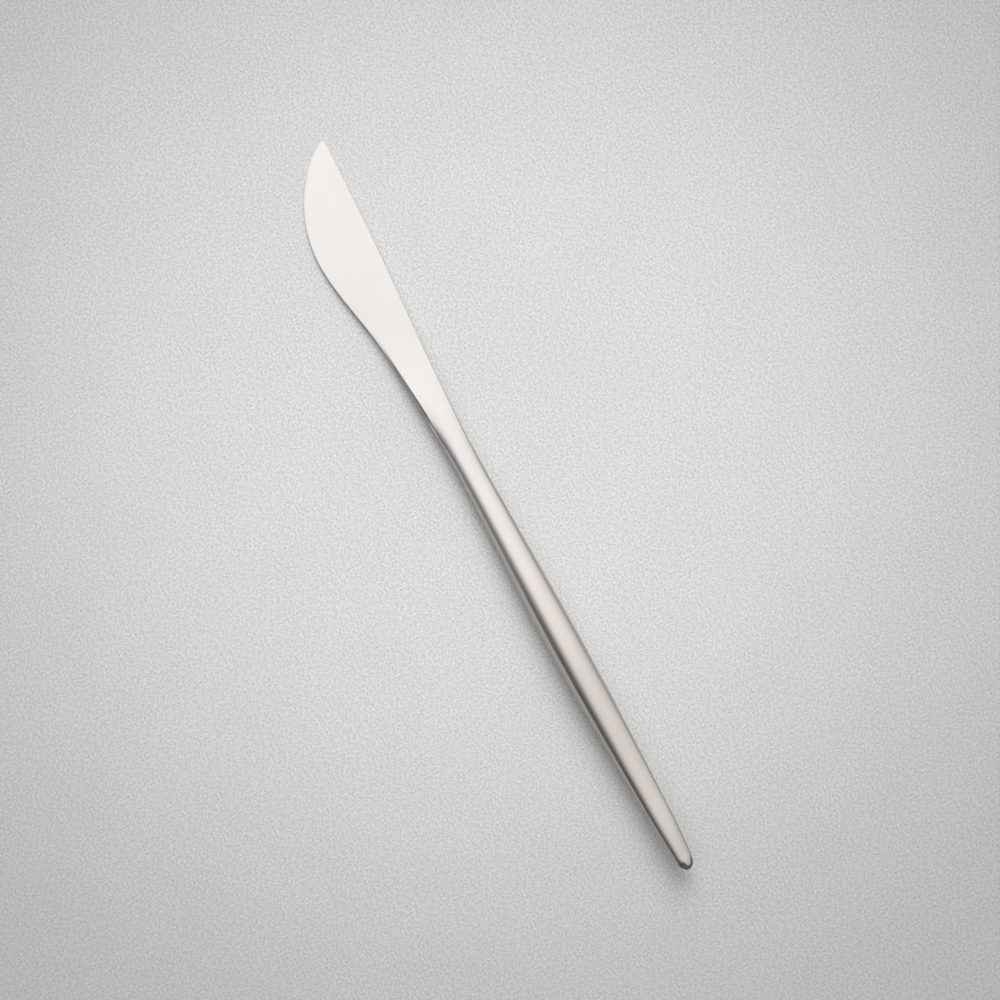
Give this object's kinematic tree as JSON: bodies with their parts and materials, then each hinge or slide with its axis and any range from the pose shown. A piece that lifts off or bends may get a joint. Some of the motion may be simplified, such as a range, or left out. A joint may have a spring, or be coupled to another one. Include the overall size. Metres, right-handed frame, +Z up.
{
  "type": "fish knife",
  "caption": "Slim satin steel fish knife: flat pointed blade with a bowed blunt edge, narrow neck and a tapered oval handle, joined by a hidden brazed tang.",
  "frame": {"origin": "on the table plane, under the middle of the knife's bounding box", "axes": "+X from the blade's point to the end of the handle, +Y towards the nearly straight back, -Y towards the bowed edge, +Z up off the table. The knife is modelled as it lies: its own axis leans by 1.6 degrees along the knife and by 2.8 degrees towards the edge, because the blade is thinner than the handle and thinner still at the edge."},
  "size_m": [0.21, 0.0166, 0.0086],
  "materials": {
    "blade_steel": "fine satin, brushed mostly along the knife",
    "handle_steel": "fine satin, brushed along the handle",
    "braze_alloy": "as flowed, hidden inside the joint"
  },
  "bodies": {
    "root": {"blade": "blade_steel", "handle": "handle_steel", "braze_sleeve": "braze_alloy"}
  },
  "joints": []
}
